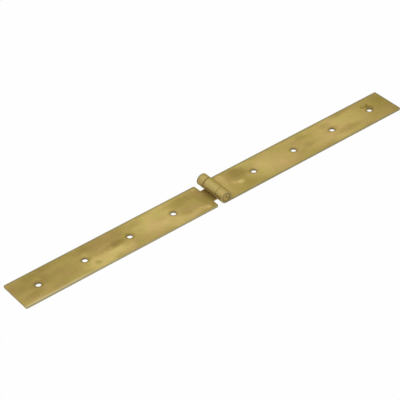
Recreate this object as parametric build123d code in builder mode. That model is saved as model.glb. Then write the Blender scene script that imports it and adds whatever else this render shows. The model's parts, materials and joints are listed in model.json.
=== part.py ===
from build123d import *
import os
from math import acos, asin, degrees

# A long-leaf hinge rolled from brass sheet, lying open and flat with its barrel up, in millimetres.
# +X runs along the leaf that carries the two outer knuckles, +Y along the pin and +Z up.
# The origin is midway along the pin, straight below it, on the face that the leaves rest on.

# Driving dimensions
leaf_length = 180.0  # pin axis to the free end of a leaf
leaf_width = 30.0
leaf_thickness = 2.0
end_corner_radius = 0.8
shoulder_corner_radius = 1.2
notch_corner_radius = 0.8
edge_break = 0.2  # deburring chamfer on the edges of the sheet

pin_radius = 3.0
pin_flare = 0.7  # how far the hammered end of the pin spreads, and how deep it is let in
pin_crown = 0.25  # height of the domed end of the pin
pin_end_round = 0.12
punch_radius = 0.8
punch_depth = 0.5

outer_knuckle_length = 7.5
knuckle_gap = 0.25  # side clearance at each end of the middle knuckle
running_clearance = 0.2  # radial, between the pin and the middle knuckle
seam_gap = 0.4  # between the rolled end of the sheet and its own leaf
shoulder_gap = 2.65  # between the barrel and the edge that faces it

hole_count = 4
hole_radius = 2.25
countersink_radius = 3.8
countersink_angle = 135.0  # across the cone, as the point of a large drill leaves it
first_hole = 39.0  # pin axis to the nearest hole
last_hole_margin = 20.0  # farthest hole to the free end

# Sizes that follow from them
barrel_radius = pin_radius + leaf_thickness
notch_depth = barrel_radius + shoulder_gap  # from the pin axis
slot_width = leaf_width - 2 * outer_knuckle_length
middle_knuckle_length = slot_width - 2 * knuckle_gap
hole_pitch = (leaf_length - first_hole - last_hole_margin) / (hole_count - 1)
hole_centre = (first_hole + leaf_length - last_hole_margin) / 2
roll_angle = 270 + degrees(asin((pin_radius - seam_gap) / barrel_radius))
cut_length = notch_depth + 2 * barrel_radius  # reaches past the barrel
barrel_half = leaf_width / 2
mouth_radius = pin_radius + pin_flare  # of the bore at the ends of the barrel
rim_radius = mouth_radius - pin_crown
pin_axis = Axis((0, 0, barrel_radius), (0, 1, 0))


def sheet_section(bore_radius):
    """The sheet on edge: the flat strip towards +X, rolled up and over the pin from below."""
    axis_point = (0, barrel_radius)
    reamed_angle = degrees(acos(pin_radius / bore_radius))
    with BuildSketch() as section:
        with BuildLine():
            outside = CenterArc(axis_point, barrel_radius, 270, -roll_angle)
            inside = CenterArc(axis_point, bore_radius, 270 - roll_angle, roll_angle + reamed_angle)
            Line(outside @ 1, inside @ 0)
            Polyline(
                inside @ 1,
                (leaf_length, leaf_thickness),
                (leaf_length, 0),
                outside @ 0,
            )
        make_face()
    return section.sketch


def upright_edges(leaf, distance):
    """The cut edges through the sheet at this distance from the pin axis, in order along the pin."""
    cut = leaf.edges().filter_by(Axis.Z)
    return cut.filter_by_position(Axis.X, distance - 0.01, distance + 0.01).sort_by(Axis.Y)


def sharp_edges(leaf):
    """Every edge of the cut sheet, but for those through its thickness and where it begins to roll."""
    edges = leaf.edges()
    roll_start = edges.filter_by(Axis.Y).filter_by_position(Axis.X, -pin_radius / 2, pin_radius / 2)
    return edges - edges.filter_by(Axis.Z) - roll_start


def drill_screw_holes():
    """Screw holes in a line along the middle of a leaf, each with a shallow cone on its barrel side."""
    with Locations((hole_centre, 0, leaf_thickness)):
        with GridLocations(hole_pitch, 0, hole_count, 1):
            CounterSinkHole(
                hole_radius,
                countersink_radius,
                depth=leaf_thickness,
                counter_sink_angle=countersink_angle,
            )


def bore_mouth():
    """The cone that the hammered end of the pin fills, at the +Y end of the barrel."""
    with BuildSketch() as section:
        with BuildLine():
            Polyline(
                (0, barrel_half),
                (mouth_radius, barrel_half),
                (pin_radius, barrel_half - pin_flare),
                (0, barrel_half - pin_flare),
                close=True,
            )
        make_face()
    return section.sketch


# The leaf whose end is cut into two tongues, rolled as the outer knuckles
with BuildPart() as two_knuckle_leaf:
    with BuildSketch(Plane.XZ):
        add(sheet_section(pin_radius))
    extrude(amount=leaf_width / 2, both=True)
    with BuildSketch():
        with Locations((notch_depth, 0)):
            Rectangle(cut_length, slot_width, align=(Align.MAX, Align.CENTER))
    extrude(amount=2 * barrel_radius, mode=Mode.SUBTRACT)
    fillet(upright_edges(two_knuckle_leaf, notch_depth), notch_corner_radius)
    fillet(upright_edges(two_knuckle_leaf, leaf_length), end_corner_radius)
    chamfer(sharp_edges(two_knuckle_leaf), edge_break)
    drill_screw_holes()
    with BuildSketch(Plane.XY.offset(barrel_radius)):
        add(bore_mouth())
        mirror(about=Plane.XZ)
    revolve(axis=pin_axis, mode=Mode.SUBTRACT)
two_knuckle_leaf.part.label = "two_knuckle_leaf"

# The leaf with one necked tongue between two shoulders, rolled as the middle knuckle
with BuildPart() as one_knuckle_leaf:
    with BuildSketch(Plane.XZ):
        add(sheet_section(pin_radius + running_clearance))
    extrude(amount=leaf_width / 2, both=True)
    with BuildSketch():
        with Locations((notch_depth, 0)):
            Rectangle(cut_length, leaf_width, align=(Align.MAX, Align.CENTER))
            Rectangle(
                cut_length,
                middle_knuckle_length,
                align=(Align.MAX, Align.CENTER),
                mode=Mode.SUBTRACT,
            )
    extrude(amount=2 * barrel_radius, mode=Mode.SUBTRACT)
    shoulders = upright_edges(one_knuckle_leaf, notch_depth)
    fillet(shoulders[1:3], notch_corner_radius)
    shoulders = upright_edges(one_knuckle_leaf, notch_depth)
    fillet([shoulders[0], shoulders[-1]], shoulder_corner_radius)
    fillet(upright_edges(one_knuckle_leaf, leaf_length), end_corner_radius)
    chamfer(sharp_edges(one_knuckle_leaf), edge_break)
    drill_screw_holes()
    mirror(about=Plane.YZ, mode=Mode.REPLACE)
one_knuckle_leaf.part.label = "one_knuckle_leaf"

# The pin, its ends hammered out into the bore's mouths, domed and centre-punched
with BuildPart() as hinge_pin:
    with BuildSketch(Plane.XY.offset(barrel_radius)):
        with BuildLine():
            punch = Line((0, barrel_half - punch_depth), (punch_radius, barrel_half))
            crown = TangentArc(punch @ 1, (rim_radius, barrel_half - pin_crown), tangent=(1, 0))
            flare = Line(crown @ 1, (pin_radius, barrel_half - pin_flare))
            Line(flare @ 1, (pin_radius, 0))
            mirror(about=Plane.XZ)
            Line((0, barrel_half - punch_depth), (0, punch_depth - barrel_half))
        make_face()
        rims = vertices().group_by(Axis.X)[-1]
        fillet(rims, pin_end_round)
    revolve(axis=pin_axis)
hinge_pin.part.label = "hinge_pin"

os.makedirs("parts", exist_ok=True)
for piece in (two_knuckle_leaf, one_knuckle_leaf, hinge_pin):
    export_step(piece.part, f"parts/{piece.part.label}.step")
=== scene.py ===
import json
from math import atan2, cos, degrees, hypot, pi, radians, sin, tan

import bmesh
import bpy
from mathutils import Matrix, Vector


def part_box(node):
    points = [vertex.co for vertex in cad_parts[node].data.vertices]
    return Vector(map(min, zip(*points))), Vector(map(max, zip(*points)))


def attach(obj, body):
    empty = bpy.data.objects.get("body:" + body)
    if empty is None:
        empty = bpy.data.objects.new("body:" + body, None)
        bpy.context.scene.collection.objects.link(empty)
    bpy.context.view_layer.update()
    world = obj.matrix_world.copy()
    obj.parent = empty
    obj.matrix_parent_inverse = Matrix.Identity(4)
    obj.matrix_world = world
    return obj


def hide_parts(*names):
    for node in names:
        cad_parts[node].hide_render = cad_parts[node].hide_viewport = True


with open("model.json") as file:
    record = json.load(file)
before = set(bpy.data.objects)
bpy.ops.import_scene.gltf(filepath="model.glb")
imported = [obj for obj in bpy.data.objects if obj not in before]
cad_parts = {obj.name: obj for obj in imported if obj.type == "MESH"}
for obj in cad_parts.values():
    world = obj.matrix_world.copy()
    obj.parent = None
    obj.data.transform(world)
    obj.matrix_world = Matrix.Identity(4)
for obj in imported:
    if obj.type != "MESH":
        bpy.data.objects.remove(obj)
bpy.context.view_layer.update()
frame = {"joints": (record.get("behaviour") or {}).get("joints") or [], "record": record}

mm = 0.001  # the scene is in metres, sizes below are easier in millimetres

bpy.ops.object.select_all(action="DESELECT")
bpy.context.scene.view_settings.view_transform = "Standard"


def findHoles():
    # places of the screw holes along the right leaf, from the record's screw patterns
    places = []
    for mount in frame["record"]["mounts"]:
        if mount["kind"] == "bolt_pattern" and mount["pos_m"][0] > 0:
            reach = mount["dims"]["spacing_x_mm"] * mm / 2
            places += [mount["pos_m"][0] - reach, mount["pos_m"][0] + reach]
    return sorted(places)


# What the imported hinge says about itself
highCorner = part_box("two_knuckle_leaf")[1]
pinHeight = frame["joints"][0]["pos_m"][2]  # the pin's axis runs along Y at this height
halfWidth = highCorner.y
leafLength = highCorner.x  # pin axis to the free end
holeRadius = frame["record"]["mounts"][0]["dims"]["hole_r_mm"] * mm
holes = findHoles()


# Small helpers for working in edit mode

def selectOnly(piece):
    bpy.ops.object.select_all(action="DESELECT")
    bpy.context.view_layer.objects.active = piece
    piece.select_set(True)


def editing(piece):
    selectOnly(piece)
    bpy.ops.object.mode_set(mode="EDIT")


def doneEditing():
    bpy.ops.object.mode_set(mode="OBJECT")


def addShape(operator, **settings):
    # adds a primitive and moves its place into its mesh, so that the object sits at the origin
    bpy.ops.object.select_all(action="DESELECT")
    operator(**settings)
    bpy.ops.object.transform_apply(location=True, rotation=True, scale=True)
    return bpy.context.object


def pick(piece, kind, wanted):
    # selects the vertices, edges or faces whose middle passes the test
    bpy.ops.mesh.select_mode(type=kind)
    bpy.ops.mesh.select_all(action="DESELECT")
    mesh = bmesh.from_edit_mesh(piece.data)
    parts = {"VERT": mesh.verts, "EDGE": mesh.edges, "FACE": mesh.faces}[kind]
    for part in parts:
        corners = [part] if kind == "VERT" else part.verts
        middle = sum((v.co for v in corners), Vector()) / len(corners)
        part.select_set(bool(wanted(middle)))
    bmesh.update_edit_mesh(piece.data)


def pickAll():
    bpy.ops.mesh.select_mode(type="FACE")
    bpy.ops.mesh.select_all(action="SELECT")


def sliceAt(place, direction):
    pickAll()
    bpy.ops.mesh.bisect(plane_co=place, plane_no=direction)


def bake(piece, kind, **settings):
    # adds a modifier with these settings and applies it
    selectOnly(piece)
    bpy.ops.object.modifier_add(type=kind)
    modifier = piece.modifiers[-1]
    for key, value in settings.items():
        setattr(modifier, key, value)
    bpy.ops.object.modifier_apply(modifier=modifier.name)


def near(a, b, slack=0.02 * mm):
    return abs(a - b) < slack


# The two leaves

leafLook = {
    "thickness": 2 * mm,
    "notchDepth": 7.65 * mm,  # pin axis to the edge that faces the barrel
    "outerTongues": (7.5 * mm, halfWidth),  # along the pin, and the same on the other side
    "middleTongue": (-7.42 * mm, 7.26 * mm),  # pushed over a little, as play on the pin leaves it
    "rollTurn": 305.5,  # degrees that a tongue wraps round the pin
    "rollSteps": 60,
    "endCorner": 0.8 * mm,
    "shoulderCorner": 1.2 * mm,
    "innerCorner": 0.8 * mm,
    "cornerSteps": 5,
    "edgeSoftness": 0.3 * mm,
    "edgeSteps": 3,
    "sharpEdge": 50,  # degrees between two faces whose edge is softened
    "countersinkRadius": 3.8 * mm,
    "countersinkAngle": 135,  # degrees, across the cone
    "rimBreak": 0.1 * mm,  # on the edges that the drill left
    "rimSteps": 2,
    "mouthRadius": 3.7 * mm,  # the bore's mouth, where the pin's end spreads
    "mouthDepth": 0.7 * mm,
    "runningRadius": 3.2 * mm,  # of the middle knuckle's bore, which turns on the pin
    "holeSides": 64,
    "mouthSides": 96,
    "boreSides": 120,
    "drillSpare": 1 * mm,  # how far a drill stands out on each side of the sheet
    "mouthSpare": 0.2 * mm,
}


def cutStrip(name, tongues):
    # a flat strip with its end cut into tongues, each from one place along the pin to another
    look = leafLook
    notch = look["notchDepth"]
    middle = (leafLength / 2, 0, 0)
    strip = addShape(bpy.ops.mesh.primitive_plane_add, size=2 * halfWidth, location=middle)
    strip.name = strip.data.name = name
    editing(strip)
    pickAll()
    bpy.ops.transform.resize(value=(leafLength / (2 * halfWidth), 1, 1), center_override=middle)
    sliceAt((notch, 0, 0), (1, 0, 0))
    for side in sorted({edge for tongue in tongues for edge in tongue}):
        if abs(side) < halfWidth:
            sliceAt((0, side, 0), (0, 1, 0))
    pick(strip, "FACE", lambda m: m.x < notch and not any(a < m.y < b for a, b in tongues))
    bpy.ops.mesh.delete(type="FACE")
    pickAll()
    bpy.ops.mesh.dissolve_limited(angle_limit=radians(1))  # joins what is left of the flat strip
    shoulder = 0.9 * halfWidth  # corners farther out than this are the strip's own
    roundCorners(strip, look["endCorner"], lambda m: near(m.x, leafLength))
    roundCorners(strip, look["innerCorner"], lambda m: near(m.x, notch) and abs(m.y) < shoulder)
    roundCorners(strip, look["shoulderCorner"], lambda m: near(m.x, notch) and abs(m.y) > shoulder)
    return strip


def roundCorners(strip, radius, wanted):
    pick(strip, "VERT", wanted)
    bpy.ops.mesh.bevel(
        offset=radius, segments=leafLook["cornerSteps"], profile=0.5, affect="VERTICES"
    )


def rollKnuckles(strip):
    # wraps the tongues round the pin, then gives the skin its thickness towards the pin
    look = leafLook
    pick(strip, "EDGE", lambda m: near(m.x, 0))
    bpy.ops.mesh.spin(
        steps=look["rollSteps"],
        angle=-radians(look["rollTurn"]),  # up and over from the barrel's far side
        center=(0, 0, pinHeight),
        axis=(0, 1, 0),
    )
    pickAll()
    bpy.ops.mesh.remove_doubles(threshold=0.001 * mm)
    bpy.ops.mesh.normals_make_consistent(inside=False)
    doneEditing()
    flat = max(strip.data.polygons, key=lambda face: face.area)
    if flat.normal.z > 0:  # the skin is the underside, so it has to look down
        editing(strip)
        pickAll()
        bpy.ops.mesh.flip_normals()
        doneEditing()
    bake(strip, "SOLIDIFY", thickness=look["thickness"], offset=-1, use_even_offset=True)
    bake(
        strip,
        "BEVEL",
        width=look["edgeSoftness"],
        segments=look["edgeSteps"],
        limit_method="ANGLE",
        angle_limit=radians(look["sharpEdge"]),
    )


def screwCutter():
    # one drill with its countersink, copied to each hole
    look = leafLook
    top = look["thickness"]
    spare = look["drillSpare"]
    slope = tan(radians(look["countersinkAngle"] / 2))
    coneStart = top - (look["countersinkRadius"] - holeRadius) / slope
    cutter = addShape(
        bpy.ops.mesh.primitive_cylinder_add,
        vertices=look["holeSides"],
        radius=holeRadius,
        depth=coneStart + spare,
        location=(holes[0], 0, (coneStart - spare) / 2),
    )
    editing(cutter)
    pick(cutter, "FACE", lambda m: near(m.z, coneStart))
    rise = top + spare - coneStart
    bpy.ops.mesh.extrude_region_move(TRANSFORM_OT_translate={"value": (0, 0, rise)})
    grow = (holeRadius + rise * slope) / holeRadius
    bpy.ops.transform.resize(value=(grow, grow, 1), center_override=(holes[0], 0, top + spare))
    doneEditing()
    bake(
        cutter,
        "ARRAY",
        count=len(holes),
        use_relative_offset=False,
        use_constant_offset=True,
        constant_offset_displace=(holes[1] - holes[0], 0, 0),
    )
    return cutter


def mouthCutter(end):
    # the cone let into the bore at one end of the barrel
    look = leafLook
    spare = look["mouthSpare"]
    boreRadius = look["mouthRadius"] - look["mouthDepth"]
    return addShape(
        bpy.ops.mesh.primitive_cone_add,
        vertices=look["mouthSides"],
        radius1=look["mouthRadius"] + spare,
        radius2=boreRadius - spare,
        depth=look["mouthDepth"] + 2 * spare,
        location=(0, end * (halfWidth - look["mouthDepth"] / 2), pinHeight),
        rotation=(end * pi / 2, 0, 0),
    )


def reamer():
    # opens the whole bore of the middle knuckle
    return addShape(
        bpy.ops.mesh.primitive_cylinder_add,
        vertices=leafLook["boreSides"],
        radius=leafLook["runningRadius"],
        depth=2 * halfWidth,
        location=(0, 0, pinHeight),
        rotation=(pi / 2, 0, 0),
    )


def cut(piece, cutter):
    bake(piece, "BOOLEAN", operation="DIFFERENCE", solver="EXACT", object=cutter)
    bpy.data.objects.remove(cutter)


def softenHoles(leaf):
    # a fine break on the rims that the drill left
    look = leafLook
    rims = ((look["thickness"], look["countersinkRadius"]), (0, holeRadius))
    slack = 0.03 * mm  # the rims are rings of short straight edges

    def onRim(m):
        for height, radius in rims:
            for place in holes:
                if near(m.z, height) and near(hypot(m.x - place, m.y), radius, slack):
                    return True
        return False

    editing(leaf)
    pick(leaf, "EDGE", onRim)
    bpy.ops.mesh.bevel(offset=look["rimBreak"], segments=look["rimSteps"], affect="EDGES")
    doneEditing()


shading = {
    "smoothUpTo": 40,  # degrees between two faces
    "faceWeight": 80,  # how far large faces stay flat
}


def finishShading(piece):
    selectOnly(piece)
    bpy.ops.object.shade_smooth_by_angle(angle=radians(shading["smoothUpTo"]))
    bake(piece, "WEIGHTED_NORMAL", weight=shading["faceWeight"], keep_sharp=True)


def finishLeaf(leaf):
    finishShading(leaf)
    print("made", leaf.name, len(leaf.data.polygons), "faces")
    return leaf


def makeOuterLeaf(name):
    # rolled as the two outer knuckles, to the right
    start, end = leafLook["outerTongues"]
    leaf = cutStrip(name, [(-end, -start), (start, end)])
    rollKnuckles(leaf)
    cut(leaf, screwCutter())
    softenHoles(leaf)
    cut(leaf, mouthCutter(-1))
    cut(leaf, mouthCutter(1))
    return finishLeaf(leaf)


def makeMiddleLeaf(name):
    # rolled as the middle knuckle, then mirrored to the left
    leaf = cutStrip(name, [leafLook["middleTongue"]])
    rollKnuckles(leaf)
    cut(leaf, screwCutter())
    softenHoles(leaf)
    cut(leaf, reamer())
    editing(leaf)
    pickAll()
    bpy.ops.transform.resize(value=(-1, 1, 1), center_override=(0, 0, 0))
    bpy.ops.mesh.normals_make_consistent(inside=False)
    doneEditing()
    return finishLeaf(leaf)


# The pin

pinLook = {
    "radius": 2.98 * mm,  # a hair under the bore
    "flareRadius": 3.43 * mm,  # of the hammered end, seated in the bore's mouth
    "flareStart": 14.3 * mm,  # along the pin
    "rim": 14.75 * mm,
    "crown": 0.25 * mm,  # height of the dome above the rim
    "domeRings": 6,
    "domeShape": 0.8,  # the lower, the flatter on top
    "punchRadius": 0.8 * mm,
    "punchDepth": 0.5 * mm,
    "punchTip": 0.15,  # width of the mark's bottom against its mouth
    "punchOffset": (0.25 * mm, -0.2 * mm),  # the centre punch didn't land quite in the middle
    "hammering": 0.16 * mm,  # depth of the blows
    "blowSize": 1.6 * mm,
    "wedge": 42,  # degrees below level, where the roll leaves a gap beside the pin
    "wedgeWidth": 18,  # degrees to each side
    "wedgeFill": 0.55 * mm,  # how far the hammered rim flows into it
    "sides": 72,
}


def growEnd(end, out, scale, centre):
    # pulls the picked end face on along the pin and opens or narrows it
    bpy.ops.mesh.extrude_region_move(TRANSFORM_OT_translate={"value": (0, end * out, 0)})
    bpy.ops.transform.resize(value=(scale, 1, scale), center_override=centre)


def shapeEnd(pin, end):
    # a flare, a dome in rings and a punch mark
    look = pinLook
    centre = (0, end * look["rim"], pinHeight)
    flare = look["flareRadius"]
    pick(pin, "FACE", lambda m: near(m.y, end * look["flareStart"]))
    growEnd(end, look["rim"] - look["flareStart"], flare / look["radius"], centre)
    radius, height = flare, 0
    for ring in range(1, look["domeRings"] + 1):
        share = ring / look["domeRings"]
        nextRadius = flare + (look["punchRadius"] - flare) * share
        nextHeight = look["crown"] * sin(share * pi / 2) ** look["domeShape"]
        growEnd(end, nextHeight - height, nextRadius / radius, centre)
        radius, height = nextRadius, nextHeight
    aside = (look["punchOffset"][0], 0, look["punchOffset"][1])
    bpy.ops.transform.translate(value=aside)
    growEnd(end, -look["punchDepth"], look["punchTip"], tuple(Vector(centre) + Vector(aside)))


def fillWedge(pin):
    # the rims bulge towards the seam of the rolled sheet
    look = pinLook
    angle = radians(look["wedge"])
    out = look["wedgeFill"]

    def besideSeam(m):
        turn = degrees(atan2(pinHeight - m.z, m.x))
        return near(abs(m.y), look["rim"]) and abs(turn - look["wedge"]) < look["wedgeWidth"]

    pick(pin, "VERT", besideSeam)
    bpy.ops.transform.translate(value=(out * cos(angle), 0, -out * sin(angle)))


def hammerEnds(pin):
    # uneven blows over the domed ends, only ever inwards
    look = pinLook
    ends = pin.vertex_groups.new(name="ends")
    struck = [v.index for v in pin.data.vertices if abs(v.co.y) > look["rim"] + 0.01 * mm]
    ends.add(struck, 1, "REPLACE")
    blows = bpy.data.textures.new("blows", "CLOUDS")
    blows.noise_scale = look["blowSize"]
    blows.noise_depth = 1
    bake(
        pin,
        "DISPLACE",
        texture=blows,
        texture_coords="LOCAL",
        mid_level=1,
        strength=look["hammering"],
        vertex_group="ends",
    )


def makePin(name):
    look = pinLook
    pin = addShape(
        bpy.ops.mesh.primitive_cylinder_add,
        vertices=look["sides"],
        radius=look["radius"],
        depth=2 * look["flareStart"],
        location=(0, 0, pinHeight),
        rotation=(pi / 2, 0, 0),
    )
    pin.name = pin.data.name = name
    editing(pin)
    for end in (-1, 1):
        shapeEnd(pin, end)
    fillWedge(pin)
    doneEditing()
    hammerEnds(pin)
    finishShading(pin)
    print("made", name, len(pin.data.polygons), "faces")
    return pin


# Finishes. Colours are linear, places in millimetres in the hinge's own frame

class Nodes:
    # one node tree, with short calls to add and join its nodes
    def __init__(self, tree):
        self.tree = tree

    def add(self, kind, inputs=(), **settings):
        node = self.tree.nodes.new(kind)
        for key, value in settings.items():
            setattr(node, key, value)
        for key, value in dict(inputs).items():
            if isinstance(value, bpy.types.NodeSocket):
                self.tree.links.new(value, node.inputs[key])
            else:
                node.inputs[key].default_value = value
        return node

    def maths(self, operation, a, b=0.0, c=0.0):
        return self.add("ShaderNodeMath", {0: a, 1: b, 2: c}, operation=operation).outputs[0]

    def times(self, first, *others):
        for other in others:
            first = self.maths("MULTIPLY", first, other)
        return first

    def highest(self, first, *others):
        for other in others:
            first = self.maths("MAXIMUM", first, other)
        return first

    def addTo(self, tone, mask, amount):
        return self.maths("MULTIPLY_ADD", mask, amount, tone)

    def strewOn(self, tone, noise, amount):
        # noise lightens as much as it darkens
        return self.addTo(tone, self.maths("SUBTRACT", noise, 0.5), amount)

    def vector(self, operation, *values):
        node = self.add("ShaderNodeVectorMath", dict(enumerate(values)), operation=operation)
        return node.outputs["Value" if operation in ("LENGTH", "DOT_PRODUCT") else "Vector"]

    def mix(self, factor, a, b, blend="MIX"):
        inputs = {0: factor, 6: a, 7: b}
        node = self.add("ShaderNodeMix", inputs, data_type="RGBA", blend_type=blend)
        return node.outputs[2]

    def smooth(self, value, start, end, low=0.0, high=1.0):
        node = self.add(
            "ShaderNodeMapRange",
            {"Value": value, "From Min": start, "From Max": end, "To Min": low, "To Max": high},
            interpolation_type="SMOOTHSTEP",
        )
        return node.outputs[0]


class Finish(Nodes):
    # a material, with the places that its pattern follows
    def __init__(self, name):
        self.material = bpy.data.materials.new(name)
        self.material.use_nodes = True
        super().__init__(self.material.node_tree)
        self.shader = self.tree.nodes["Principled BSDF"]

    def join(self, value, socket):
        self.tree.links.new(value, self.shader.inputs[socket])

    def usePlaces(self):
        # where a point lies, and how far it is from the pin's axis
        coordinates = self.add("ShaderNodeTexCoord").outputs["Object"]
        inMm = {0: coordinates, "Scale": 1 / mm}
        self.place = self.add("ShaderNodeVectorMath", inMm, operation="SCALE").outputs[0]
        self.fromAxis = self.vector("SUBTRACT", self.place, (0, 0, pinHeight / mm))
        self.axisReach = self.vector("LENGTH", self.vector("MULTIPLY", self.fromAxis, (1, 0, 1)))

    def splitPlaces(self):
        self.x, self.y, self.height = self.add("ShaderNodeSeparateXYZ", {0: self.place}).outputs
        self.along = self.maths("ABSOLUTE", self.x)
        self.across = self.maths("ABSOLUTE", self.y)

    def noise(
        self, scale, detail=2.0, roughness=0.5, stretch=(1, 1, 1), turn=0.0, shift=0.0, output=0
    ):
        mapped = self.add(
            "ShaderNodeMapping",
            {
                "Vector": self.place,
                "Location": (shift, shift, shift),
                "Rotation": (0, 0, radians(turn)),
                "Scale": stretch,
            },
        )
        node = self.add(
            "ShaderNodeTexNoise",
            {"Vector": mapped.outputs[0], "Scale": scale, "Detail": detail, "Roughness": roughness},
        )
        return node.outputs[output]

    def bump(self, height, depth, below=None):
        inputs = {"Strength": 1.0, "Distance": depth * mm, "Height": height}
        if below:
            inputs["Normal"] = below
        return self.add("ShaderNodeBump", inputs).outputs[0]


def colour(values):
    return (*values, 1.0)


# A fade is (from, to), in millimetres unless the note says otherwise, and runs from none to full
sheetLook = {
    "throat": (0.26, 0.20, 0.085),  # painted shade with grime on the walls of the holes and in the mouths of the bore
    "grime": (0.33, 0.205, 0.045),  # in the gaps of the barrel, and at its foot, where it is painted shade with grime
    "barrelFoot": (0.44, 0.38, 0.20),  # duller where it nears the sheet
    "dark": (0.27, 0.195, 0.055),  # brown tarnish
    "dull": (0.398, 0.30, 0.094),
    "bright": (0.595, 0.455, 0.165),  # where the brass is rubbed clean
    "barrel": (0.49, 0.385, 0.145),  # paler, where it rubs
    # painted shade: greyer on the barrel's flanks that turn from the light
    "barrelSides": (0.46, 0.39, 0.18),
    "barrelBack": (0.31, 0.255, 0.085),  # painted shade, mottled, on the side of the outer knuckles' leaf
    "edge": (0.26, 0.24, 0.125),  # greyish line along the far edges and the right leaf's end
    "leftSide": (0.43, 0.38, 0.215),  # the sheared faces of each leaf
    "rightSide": (0.34, 0.30, 0.155),
    "sideFoot": (0.16, 0.14, 0.07),  # painted contact shadow along their lower edge
    "rubbedEdge": (0.70, 0.60, 0.33),  # painted highlight: a light line along the -Y edge towards the left leaf's end
    "rim": (0.62, 0.53, 0.30),  # reflection at a glancing angle
    "green": (0.968, 1.012, 0.925),  # tints that drift over the sheet
    "rose": (1.028, 0.982, 1.075),
    # the patches that are placed one by one
    "strayNoise": {"scale": 0.09, "detail": 3, "roughness": 0.6, "output": "Color"},
    "wander": (14, 4),  # how far the outlines of large and small patches stray
    "smallSpot": 5.2,
    "spotFade": (0.0, 0.75),  # share of the way from a patch's outline to its middle
    # the tarnish that is strewn by chance: its strengths and its noises, per millimetre
    "blotch": 0.43,
    "fine": 0.24,
    "grain": 0.16,
    "blotchNoise": {"scale": 0.07, "detail": 4, "roughness": 0.62, "shift": 31},
    "fineNoise": {"scale": 0.55, "detail": 3, "roughness": 0.6, "shift": 7},
    "grainNoise": {
        "scale": 1.0, "detail": 3, "roughness": 0.65, "stretch": (0.05, 2.2, 2.2), "turn": 0.6
    },
    "driftNoise": {"scale": 0.045, "detail": 3, "roughness": 0.55, "shift": 90},
    "mottleNoise": {"scale": 0.24, "detail": 4, "roughness": 0.75, "shift": 55},
    "mottle": 1.1,  # how much of it the tints follow
    "tintFade": (0.34, 0.66),  # noise at which green turns to rose
    "dullAt": 0.42,  # tone of the dull brass, where 0 is dark and 1 is bright
    # holes, with painted shade in the cones and on the walls
    "halo": -0.14,  # change of tone round a cone
    "haloWidth": 0.9,
    "coneShade": 0.42,
    "coneFade": (0.1, 0.3),  # outside the cone, outside the hole
    "throatFade": (0.5, 0.1),  # outside the hole
    # gaps between the knuckles
    "gapInset": 0.15,  # middle of a gap, from the end of the outer knuckle
    "gapFade": (0.8, 0.15),  # from the middle of a gap
    "nearGap": 0.15,  # share of the grime in the gap at the -Y end
    "gapTone": -0.6,
    # barrel
    "barrelFrom": (2.1, 3.0),  # height
    "leafBelow": (3.0, 2.1),
    "barrelShare": 0.6,
    "lightSide": (-0.094, 0, 0.124),  # up and to the left, scaled to 0.78 on the barrel's skin
    "sidesFade": (0.6, 0.1),  # reach towards the light side
    "footFade": (6.5, 3.5),  # height
    "footShare": 0.7,
    "backFade": (0.2, 2.8, 0, 0.75),  # along +X, then none and full
    "backMottle": (0.35, 0.65, 0.5, 1.2),  # noise, then its least and its most
    "mouthFade": (0.4, -0.1),  # outside the mouth of the bore
    "mouthDepthFade": (1, 0.6),  # inside the ends of the barrel
    "mouthShare": 0.8,
    "mouthDirt": 1.7,
    # sheet beside the barrel: painted shadow under it, and painted shade with grime in the crevice
    # at its foot
    "underFade": (9.5, 4.5),  # from the pin's axis
    "underTone": -0.2,
    "creviceFade": (7.8, 4.9),
    "creviceEnds": (0.2, 1.5, 0, 0.7),  # inside the ends of the barrel, then none and full
    # edges
    "edgeBand": 2.4,  # the line's width
    "edgeFull": 0.2,  # share of it that is at its greyest
    "edgeShare": 0.85,
    "edgeTone": (0.0, 0.4),  # tone: tarnish hides the line
    "rubbedWidth": (1.9, 0.9),  # inside the -Y edge
    "rubbedFade": (-105, -140, 0, 0.5),  # along X, then none and full
    "sideFade": (0.1, 0.01),  # inside the sheared faces
    "sideShare": 0.9,
    "sideOnBarrel": -0.8,  # change of it there
    "sideHeight": (0.1, 1.1),  # foot to upper edge
    # gloss and relief
    "roughness": (0.50, 0.34),  # tarnished, clean
    "glossTone": (0.2, 0.9),
    "dirt": -0.5,  # change of the metal's shine by the grime and painted shade in holes, gaps and crevices
    "waveNoise": {"scale": 0.12, "detail": 2, "shift": 12},
    "waveDepth": 0.03,
    "grainDepth": 0.004,
}


def tarnish(finish, spots):
    # light and dark patches on coordinates that stray; a patch goes through the sheet
    look = sheetLook
    stray = finish.vector("SUBTRACT", finish.noise(**look["strayNoise"]), (0.5, 0.5, 0.5))
    wandered, steadier = (
        finish.vector("MULTIPLY_ADD", stray, (reach, reach, 0), finish.place)
        for reach in look["wander"]
    )
    tone = 0.5
    for x, y, length, width, turn, amount in spots:
        spot = finish.add(
            "ShaderNodeMapping",
            {
                "Vector": steadier if width < look["smallSpot"] else wandered,
                "Location": (x, y, 0),
                "Rotation": (0, 0, radians(turn)),
                "Scale": (length, width, 1000),
            },
            vector_type="TEXTURE",
        ).outputs[0]
        fade = finish.add("ShaderNodeTexGradient", {"Vector": spot}, gradient_type="SPHERICAL")
        tone = finish.addTo(tone, finish.smooth(fade.outputs[1], *look["spotFade"]), amount)
    return tone


def holeReach(finish):
    # distance from the middle of the nearest hole
    first = holes[0] / mm
    pitch = (holes[1] - holes[0]) / mm
    step = finish.maths("DIVIDE", finish.maths("SUBTRACT", finish.along, first), pitch)
    step = finish.maths("ROUND", step)
    step = finish.add("ShaderNodeClamp", {0: step, 1: 0.0, 2: len(holes) - 1.0}).outputs[0]
    aside = finish.maths("SUBTRACT", finish.along, finish.addTo(first, step, pitch))
    return finish.vector(
        "LENGTH", finish.add("ShaderNodeCombineXYZ", {0: aside, 1: finish.y}).outputs[0]
    )


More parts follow.
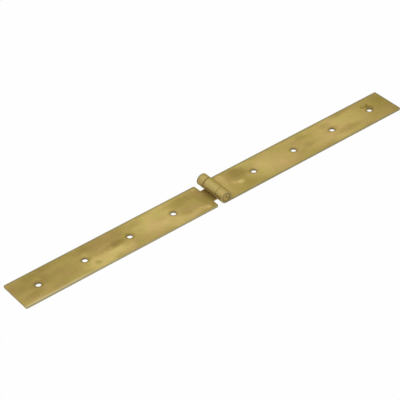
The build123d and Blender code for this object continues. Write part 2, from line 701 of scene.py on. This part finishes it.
def edgeLine(finish, tone):
    # along the +Y edges and the +X end
    look = sheetLook
    width = look["edgeBand"]
    bands = [
        finish.smooth(distance, limit / mm - width, limit / mm - look["edgeFull"] * width)
        for distance, limit in ((finish.y, halfWidth), (finish.x, leafLength))
    ]
    return finish.times(
        finish.highest(*bands), look["edgeShare"], finish.smooth(tone, *look["edgeTone"])
    )


def shearedFaces(finish, onBarrel):
    # the sides and the free end, through the sheet's thickness
    look = sheetLook
    start, full = look["sideFade"]
    faces = [
        finish.smooth(distance, limit / mm - start, limit / mm - full)
        for distance, limit in ((finish.across, halfWidth), (finish.along, leafLength))
    ]
    offBarrel = finish.addTo(1.0, onBarrel, look["sideOnBarrel"])
    return finish.times(finish.highest(*faces), look["sideShare"], offBarrel)


def insideEnds(finish, start, full, low=0.0, high=1.0):
    # fades by how far a point lies inside the ends of the barrel
    half = halfWidth / mm
    return finish.smooth(finish.across, half - start, half - full, low, high)


def sheetBrass(name, spots, sideName):
    # the tarnish, its places, the grime and wear, and the painted shade and highlight of one leaf
    look = sheetLook
    finish = Finish(name)
    finish.usePlaces()
    finish.splitPlaces()
    cone = leafLook["countersinkRadius"] / mm
    hole = holeRadius / mm
    bore = leafLook["mouthRadius"] / mm

    # where the barrel, its gaps, its mouths and its foot are
    onBarrel = finish.smooth(finish.height, *look["barrelFrom"])
    onLeaf = finish.smooth(finish.height, *look["leafBelow"])
    gapPlace = leafLook["outerTongues"][0] / mm - look["gapInset"]
    fromGap = finish.maths("ABSOLUTE", finish.maths("SUBTRACT", finish.across, gapPlace))
    farShare = finish.smooth(finish.y, -1, 1, look["nearGap"], 1)
    grime = finish.times(finish.smooth(fromGap, *look["gapFade"]), onBarrel, farShare)
    # painted shade with dirt in the mouths of the bore, at the ends of the barrel
    mouthStart, mouthFull = look["mouthFade"]
    mouth = finish.times(
        finish.smooth(finish.axisReach, bore + mouthStart, bore + mouthFull),
        insideEnds(finish, *look["mouthDepthFade"]),
    )
    foot = finish.times(onBarrel, finish.smooth(finish.height, *look["footFade"]))
    # painted shadow on the sheet under the barrel, and painted shade with grime in the crevice at
    # its foot
    under = finish.times(finish.smooth(finish.along, *look["underFade"]), onLeaf)
    crevice = finish.times(finish.smooth(finish.along, *look["creviceFade"]), onLeaf)
    fromHole = holeReach(finish)

    # tone: patches of tarnish, the noise between them, darker round holes and in gaps, and painted
    # shadow on the sheet under the barrel
    grain = finish.noise(**look["grainNoise"])
    tone = tarnish(finish, spots)
    tone = finish.strewOn(tone, finish.noise(**look["blotchNoise"]), look["blotch"])
    tone = finish.strewOn(tone, finish.noise(**look["fineNoise"]), look["fine"])
    tone = finish.strewOn(tone, grain, look["grain"])
    halo = finish.smooth(fromHole, cone + look["haloWidth"], cone)
    tone = finish.addTo(tone, halo, look["halo"])
    tone = finish.addTo(tone, grime, look["gapTone"])
    tone = finish.addTo(tone, under, look["underTone"])

    # brass by its tone, with tints that drift
    ramp = finish.add("ShaderNodeValToRGB", {0: tone})
    stops = ramp.color_ramp.elements
    stops[0].position, stops[0].color = 0.0, colour(look["dark"])
    stops[1].position, stops[1].color = 1.0, colour(look["bright"])
    stops.new(look["dullAt"]).color = colour(look["dull"])
    mottle = finish.noise(**look["mottleNoise"])
    drift = finish.strewOn(finish.noise(**look["driftNoise"]), mottle, look["mottle"])
    greenToRose = finish.smooth(drift, *look["tintFade"])
    tint = finish.mix(greenToRose, colour(look["green"]), colour(look["rose"]))
    brass = finish.mix(1.0, ramp.outputs[0], tint, blend="MULTIPLY")

    # the barrel: paler brass, greyer as painted shade on the flanks that turn from the light, and
    # with mottled painted shade on the side of the outer knuckles' leaf
    towardsLight = finish.vector("DOT_PRODUCT", finish.fromAxis, look["lightSide"])
    barrel = finish.mix(grime, colour(look["barrel"]), colour(look["grime"]))
    # painted shade on the flanks that turn from the light
    sides = finish.smooth(towardsLight, *look["sidesFade"])
    barrel = finish.mix(sides, barrel, colour(look["barrelSides"]))
    # painted shade, mottled, over the barrel on its +X side
    backward = finish.smooth(finish.x, *look["backFade"])
    backShade = finish.times(onBarrel, backward, finish.smooth(mottle, *look["backMottle"]))

    # edges, with a painted highlight and painted contact shadow; holes and the crevice under the
    # barrel, with painted shade and grime
    # a painted highlight along the -Y edge, towards the left leaf's end
    highlightShare = finish.times(
        finish.smooth(finish.y, *(inset - halfWidth / mm for inset in look["rubbedWidth"])),
        finish.smooth(finish.x, *look["rubbedFade"]),
    )
    sideHeight = finish.smooth(finish.height, *look["sideHeight"])
    # the sheared faces, with painted contact shadow along their foot
    side = finish.mix(sideHeight, colour(look["sideFoot"]), colour(look[sideName]))
    # painted shade in the cones of the countersinks, and painted shade with grime on the walls of
    # the holes
    coneStart, coneFull = look["coneFade"]
    inCone = finish.smooth(fromHole, cone + coneStart, hole + coneFull, 0, look["coneShade"])
    throatStart, throatFull = look["throatFade"]
    throat = finish.smooth(fromHole, hole + throatStart, hole + throatFull)
    inCrevice = finish.times(crevice, insideEnds(finish, *look["creviceEnds"]))

    # each share of a colour lies over the ones before it
    for share, layer in (
        (finish.times(onBarrel, look["barrelShare"]), barrel),
        (finish.times(foot, look["footShare"]), colour(look["barrelFoot"])),
        (backShade, colour(look["barrelBack"])),
        (edgeLine(finish, tone), colour(look["edge"])),
        (highlightShare, colour(look["rubbedEdge"])),
        (shearedFaces(finish, onBarrel), side),
        (finish.times(mouth, look["mouthShare"]), colour(look["throat"])),
        # painted shade with grime in the crevice under the barrel
        (inCrevice, colour(look["grime"])),
        # painted shade in the countersinks, then painted shade with grime in the holes
        (inCone, colour(look["dark"])),
        (throat, colour(look["throat"])),
    ):
        brass = finish.mix(share, brass, layer)
    finish.join(brass, "Base Color")

    # grime and painted shade are duller than metal, and tarnish rougher than clean brass
    dirt = finish.highest(throat, grime, crevice, finish.times(mouth, look["mouthDirt"]), foot)
    finish.join(finish.addTo(1.0, dirt, look["dirt"]), "Metallic")
    finish.join(finish.smooth(tone, *look["glossTone"], *look["roughness"]), "Roughness")
    finish.shader.inputs["Specular Tint"].default_value = colour(look["rim"])

    # relief: a faint unevenness of the sheet and its rolling grain
    waves = finish.bump(finish.noise(**look["waveNoise"]), look["waveDepth"])
    finish.join(finish.bump(grain, look["grainDepth"], waves), "Normal")
    return finish.material


# Fades and lengths are in millimetres from the pin's axis
pinFinish = {
    "dark": (0.25, 0.175, 0.045),
    "bright": (0.50, 0.38, 0.14),
    "rim": (0.62, 0.53, 0.30),
    "blotchNoise": {"scale": 0.45, "detail": 3, "roughness": 0.6},
    "tone": 0.12,  # added to it
    "grooveFade": (2.5, 3.2),  # painted shade with dirt round the end
    "punchFade": (1.3, 0.6, 0, 0.6),  # painted shade with dirt in the punch mark, then none and full
    "dirtTone": -0.75,
    "glossNoise": (0.3, 0.7),  # noise from dark to bright
    "roughness": (0.5, 0.36),  # dark, bright
    "metallic": (2.8, 3.3, 1, 0.2),  # metal inside, dirt outside
    "dentNoise": {"scale": 0.9, "detail": 1, "shift": 3},
    "dentDepth": 0.25,
}


def pinBrass(name):
    look = pinFinish
    finish = Finish(name)
    finish.usePlaces()
    reach = finish.axisReach
    blotch = finish.noise(**look["blotchNoise"])
    # painted shade with dirt in the groove round the end and in the punch mark
    groove = finish.smooth(reach, *look["grooveFade"])
    punch = finish.smooth(reach, *look["punchFade"])
    tone = finish.addTo(blotch, finish.highest(groove, punch), look["dirtTone"])
    tone = finish.maths("ADD", tone, look["tone"])
    share = finish.smooth(tone, 0.0, 1.0)
    finish.join(finish.mix(share, colour(look["dark"]), colour(look["bright"])), "Base Color")
    finish.join(finish.smooth(blotch, *look["glossNoise"], *look["roughness"]), "Roughness")
    finish.join(finish.smooth(reach, *look["metallic"]), "Metallic")
    finish.shader.inputs["Specular Tint"].default_value = colour(look["rim"])
    finish.join(finish.bump(finish.noise(**look["dentNoise"]), look["dentDepth"]), "Normal")
    return finish.material


# Where the two leaves are lighter or darker than the rest, patch by patch:
# x, y, length, width, turn in degrees, change of tone
leftSpots = (
    (-104, -9.5, 28, 9.5, 4, 0.46),
    (-96, -4, 9, 8, 0, 0.25),
    (-113.5, -9.0, 3.4, 3.2, 0, -0.4),
    (-56, 2, 26, 20, 0, 0.38),
    (-42, -4, 12, 12, 0, 0.15),
    (-30, -11, 26, 6, 0, 0.30),
    (-100, 8, 30, 10, 0, -0.12),
    (-24, 8, 17, 9, 0, -0.12),
    (-165, 4, 24, 14, 0, -0.2),
    (-145, -2, 26, 14, 0, -0.1),
    (-12, 0, 9, 14, 0, -0.15),
    (-96, -1.6, 17, 5.1, 10, -0.38),
    (-68, 8, 10, 5, 0, -0.16),
    (-159, 3.5, 6, 5, 0, 0.2),
    (-119, 2.5, 5, 4, 0, 0.15),
    (-169, -8, 13, 5.1, 4, -0.2),
    (-47, 0, 10, 5.1, 0, -0.16),
    (-41, 13, 15, 4.5, 0, 0.2),
    (-145, 12, 34, 5.1, 0, -0.16),
    (-12, 11.5, 2.0, 1.8, 0, 0.3),
    (-14.6, -11.5, 2.4, 1.6, 0, 0.5),
    (-90, -5, 8, 5.1, 0, -0.14),
    (-24, 13, 12, 4.5, 0, 0.18),
    (-117, 10, 12, 5.1, 0, -0.12),
    (-53, 3, 8, 5.1, 0, -0.12),
)
rightSpots = (
    (27, 6.5, 13, 11, 0, -0.27),
    (28, -8, 9, 7, 0, -0.12),
    (13, 9, 5, 5, 0, 0.2),
    (29, 13.5, 10, 4.5, 0, 0.24),
    (20, -2.6, 5, 3, -20, 0.2),
    (23.5, -4.6, 4, 3.3, 0, 0.5),
    (50, -4, 20, 14, 0, 0.12),
    (12, 0, 5, 16, 0, 0.16),
    (60, 0, 40, 24, 0, 0.21),
    (91, 11, 28, 5, 0, 0.16),
    (100, -8, 16, 5, 0, 0.14),
    (93.5, 8.2, 6.5, 5, 0, -0.12),
    (93, -2.6, 7, 5, 0, -0.1),
    (125, 0, 40, 24, 0, 0.31),
    (119, 0, 12, 5.1, 0, -0.24),
    (118, 7, 9, 5.1, 0, -0.22),
    (131, -7, 20, 5.1, 0, -0.26),
    (138, 12.5, 12, 4.5, 0, -0.2),
    (174, 0, 14, 18, 0, -0.18),
    (178, -13, 6, 4, 0, -0.15),
    (36, 12, 10, 4.5, 0, 0.14),
    (161.2, 5.2, 4.2, 2.0, 48, -0.5),
    (162.7, 0.9, 3.0, 2.4, 0, -0.5),
    (162.0, 3.6, 3.4, 2.8, 0, -0.35),
    (157.4, 5.3, 3.4, 2.2, 0, -0.4),
)

rightLeaf = makeOuterLeaf("outer_knuckle_leaf")
leftLeaf = makeMiddleLeaf("middle_knuckle_leaf")
pin = makePin("pin")
rightBrass = sheetBrass("rightSheet", rightSpots, "rightSide")
leftBrass = sheetBrass("leftSheet", leftSpots, "leftSide")
for piece, node, body, slot, brass in (
    (rightLeaf, "two_knuckle_leaf", "pinned_side", "sheet_brass", rightBrass),
    (leftLeaf, "one_knuckle_leaf", "swinging_side", "sheet_brass", leftBrass),
    (pin, "hinge_pin", "pinned_side", "pin_brass", pinBrass("pinBrass")),
):
    piece.data.materials.clear()
    piece.data.materials.append(brass)
    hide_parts(node)
    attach(piece, body)
print("brass finished")


# Floor, light and camera

studioLook = {
    "floorSize": 8,
    "floorDrop": 0.18,  # below the hinge, so that a leaf can swing down
    "floorColour": (0.88, 0.88, 0.88),
    "floorRoughness": 0.9,
    "floorSpecular": 0.1,
    "floorWhite": 0.96,  # share of plain white that the camera and the metal see in the floor
    "wall": 1.0,  # level of the studio round the hinge, as white as the background
    "front": 0.55,  # and of its darker side, where the camera stands
    "frontSide": (-0.59, -0.81, 0.0),
    "frontFade": (-0.3, 0.8),  # reach towards that side, from wall to front
    "lampSize": 1.5,
    "lampPlace": (-0.35, 0.55, 1.1),
    "lampPower": 1.6,
}


def makeFloor():
    look = studioLook
    place = (0, 0, -look["floorDrop"])
    floor = addShape(bpy.ops.mesh.primitive_plane_add, size=look["floorSize"], location=place)
    floor.name = "floor"
    finish = Finish("paleFloor")
    finish.shader.inputs["Base Color"].default_value = colour(look["floorColour"])
    finish.shader.inputs["Roughness"].default_value = look["floorRoughness"]
    finish.shader.inputs["Specular IOR Level"].default_value = look["floorSpecular"]
    white = finish.add("ShaderNodeEmission", {"Color": (1, 1, 1, 1), "Strength": 1.0}).outputs[0]
    rays = finish.add("ShaderNodeLightPath").outputs
    seen = finish.highest(
        rays["Is Camera Ray"], rays["Is Glossy Ray"], rays["Is Transmission Ray"]
    )
    share = finish.times(seen, look["floorWhite"])
    blend = finish.add("ShaderNodeMixShader", {0: share, 1: finish.shader.outputs[0], 2: white})
    finish.tree.links.new(blend.outputs[0], finish.tree.nodes["Material Output"].inputs[0])
    floor.data.materials.append(finish.material)


def makeWalls():
    # white all round to the camera, and to the hinge but for the darker side
    look = studioLook
    world = bpy.data.worlds.new("studio")
    world.use_nodes = True
    bpy.context.scene.world = world
    nodes = Nodes(world.node_tree)
    direction = nodes.add("ShaderNodeTexCoord").outputs["Generated"]
    facing = nodes.vector("DOT_PRODUCT", direction, look["frontSide"])
    level = nodes.smooth(facing, *look["frontFade"], look["wall"], look["front"])
    seen = nodes.add("ShaderNodeLightPath").outputs["Is Camera Ray"]
    level = nodes.add("ShaderNodeMix", {0: seen, 2: level, 3: 1.0}, data_type="FLOAT").outputs[0]
    background = nodes.tree.nodes["Background"]
    background.inputs["Color"].default_value = (1, 1, 1, 1)
    nodes.tree.links.new(level, background.inputs["Strength"])


def makeLamp():
    look = studioLook
    bpy.ops.object.light_add(type="AREA", location=look["lampPlace"])
    lamp = bpy.context.object
    lamp.name = "softbox"
    lamp.data.shape = "SQUARE"
    lamp.data.size = look["lampSize"]
    lamp.data.energy = look["lampPower"]
    aim = -Vector(look["lampPlace"])
    lamp.rotation_euler = aim.to_track_quat("-Z", "Y").to_euler()


cameraLook = {
    "place": (-559.408 * mm, -743.514 * mm, 743.287 * mm),
    "turn": (51.1206, 2.4233, -38.2306),  # degrees
    "lens": 141.387,
    "sensor": 36,  # width that the lens is meant for
}


def makeCamera():
    look = cameraLook
    bpy.ops.object.camera_add(
        location=look["place"], rotation=[radians(angle) for angle in look["turn"]]
    )
    camera = bpy.context.object
    camera.data.sensor_width = look["sensor"]
    camera.data.lens = look["lens"]
    bpy.context.scene.camera = camera


makeFloor()
makeWalls()
makeLamp()
makeCamera()
print("studio ready")
